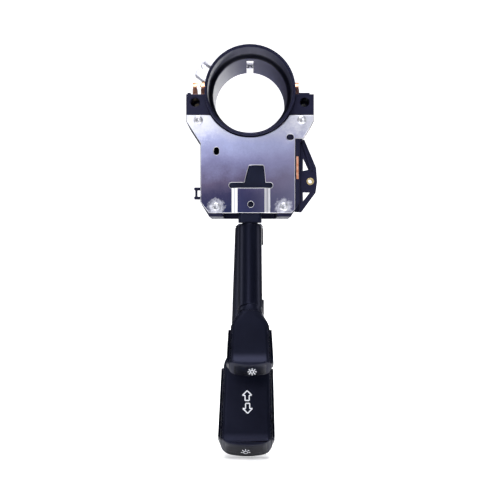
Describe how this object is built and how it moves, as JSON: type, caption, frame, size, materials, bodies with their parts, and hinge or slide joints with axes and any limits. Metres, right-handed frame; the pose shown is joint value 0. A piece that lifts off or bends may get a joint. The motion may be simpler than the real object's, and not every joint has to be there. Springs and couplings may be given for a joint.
{
  "type": "combination stalk switch",
  "caption": "Clamp-on steering column switch with a long turn lever, a short light lever, a plug face of round pins and a split collar with a clamp band.",
  "frame": {"origin": "on the column axis, at the front mouth of the clamped bore", "axes": "+Y along the column, away from the driver; +Z away from the levers, which hang down; +X across the housing, to the right as the driver sees it"},
  "size_m": [0.0728, 0.0683, 0.2272],
  "materials": {
    "black_moulding": "moulded black glass-filled plastic, satin",
    "inner_moulding": "moulded dark plastic, low sheen",
    "lever_plastic": "very dark blue-black satin plastic",
    "plated_sheet": "zinc-plated sheet with a faint violet passivation",
    "plated_steel": "bright zinc",
    "band_steel": "bright stainless strip",
    "spring_steel": "drawn wire",
    "tinned_pin": "bright tin plate",
    "brass": "turned brass",
    "brass_screw": "yellow-passivated screw",
    "copper": "bare copper strip"
  },
  "bodies": {
    "switch_body": {"housing": "black_moulding", "cover_plate": "plated_sheet", "cover_screws": "plated_steel", "lug_insert": "brass", "clamp_band": "band_steel", "clamp_screw": "brass_screw", "clamp_nut": "brass", "large_pins": "tinned_pin", "small_pins": "tinned_pin", "contact_rivets": "copper", "contact_strips": "copper", "terminal_tabs": "tinned_pin", "column_contacts": "copper", "side_bracket": "black_moulding", "bracket_bush": "brass", "side_clip": "black_moulding", "side_strip": "copper", "spindle": "plated_steel", "divider": "inner_moulding", "pawl_spring": "spring_steel"},
    "turn_carrier": {"turn_yoke": "inner_moulding", "turn_detent_plunger": "plated_steel", "turn_detent_spring": "spring_steel", "turn_contact": "copper", "turn_pivot_pin": "plated_steel"},
    "turn_lever": {"turn_arm": "inner_moulding", "turn_sleeve": "lever_plastic", "turn_paddle": "lever_plastic"},
    "light_lever": {"light_yoke": "inner_moulding", "light_detent_plunger": "plated_steel", "light_detent_spring": "spring_steel", "light_contact": "copper", "light_sleeve": "lever_plastic", "light_paddle": "lever_plastic"},
    "cancel_pawl": {"cancel_pawl": "inner_moulding"}
  },
  "joints": [
    {"name": "turn_swing", "type": "hinge", "parent": "switch_body", "child": "turn_carrier", "pos_m": [0, 0.0085, -0.0386], "axis": [0, 1, 0], "range_deg": [-10, 10]},
    {"name": "beam_tilt", "type": "hinge", "parent": "turn_carrier", "child": "turn_lever", "pos_m": [0, 0.0085, -0.057], "axis": [1, 0, 0], "range_deg": [-5, 5]},
    {"name": "light_swing", "type": "hinge", "parent": "switch_body", "child": "light_lever", "pos_m": [0, -0.0062, -0.0386], "axis": [0, 1, 0], "range_deg": [-9, 9]},
    {"name": "pawl_slide", "type": "slide", "parent": "switch_body", "child": "cancel_pawl", "axis": [0, 0, -1], "range_m": [0, 0.0012], "stiffness_N_per_m": 300, "deforming": ["pawl_spring"]}
  ]
}
